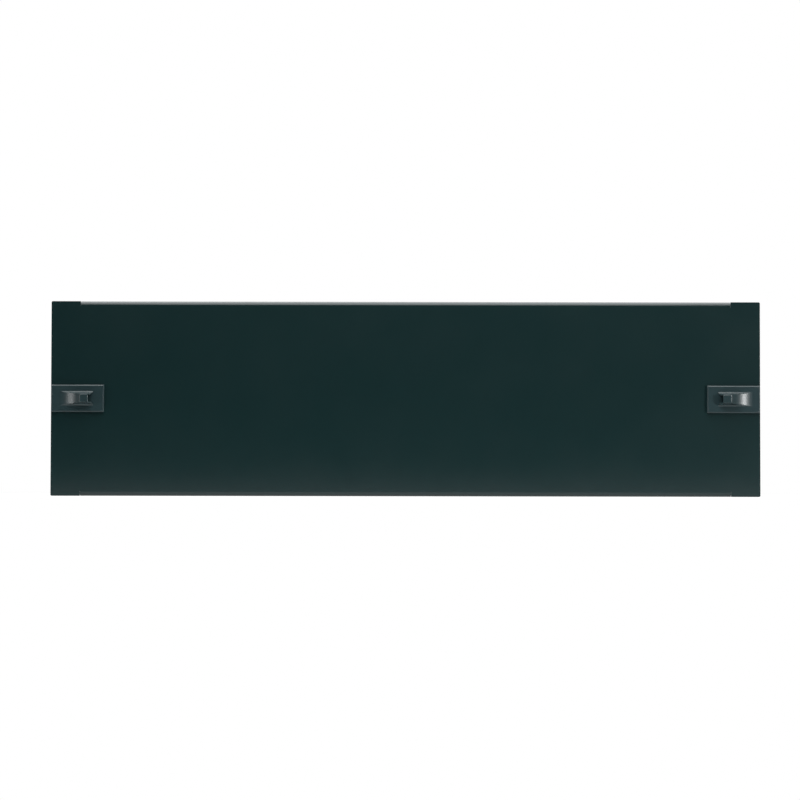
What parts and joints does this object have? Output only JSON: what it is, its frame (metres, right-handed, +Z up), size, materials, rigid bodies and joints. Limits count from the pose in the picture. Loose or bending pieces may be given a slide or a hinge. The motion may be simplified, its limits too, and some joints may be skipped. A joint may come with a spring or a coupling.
{
  "type": "rack blanking panel",
  "caption": "Three-unit black steel blanking panel for a 19-inch rack, with folded edges and a sprung plastic thumb latch at each end.",
  "frame": {"origin": "centre of the panel's back face, in the plane that seats on the rack rails", "axes": "+X to the right along the panel's width, +Y away from the front and into the rack, +Z up"},
  "size_m": [0.4826, 0.0249, 0.1326],
  "materials": {
    "powder_coated_steel": "fine satin powder coat",
    "black_plastic": "satin moulded",
    "spring_steel": "bright drawn wire"
  },
  "bodies": {
    "sheet": {"panel": "powder_coated_steel", "latch_spring_left": "spring_steel", "latch_spring_right": "spring_steel"},
    "left_latch": {"latch_left": "black_plastic"},
    "right_latch": {"latch_right": "black_plastic"}
  },
  "joints": [
    {"name": "left_latch_slide", "type": "slide", "parent": "sheet", "child": "left_latch", "axis": [1, 0, 0], "range_m": [0, 0.003], "stiffness_N_per_m": 800, "springref_m": -0.002, "deforming": ["latch_spring_left"]},
    {"name": "right_latch_slide", "type": "slide", "parent": "sheet", "child": "right_latch", "axis": [-1, 0, 0], "range_m": [0, 0.003], "stiffness_N_per_m": 800, "springref_m": -0.002, "deforming": ["latch_spring_right"]}
  ]
}
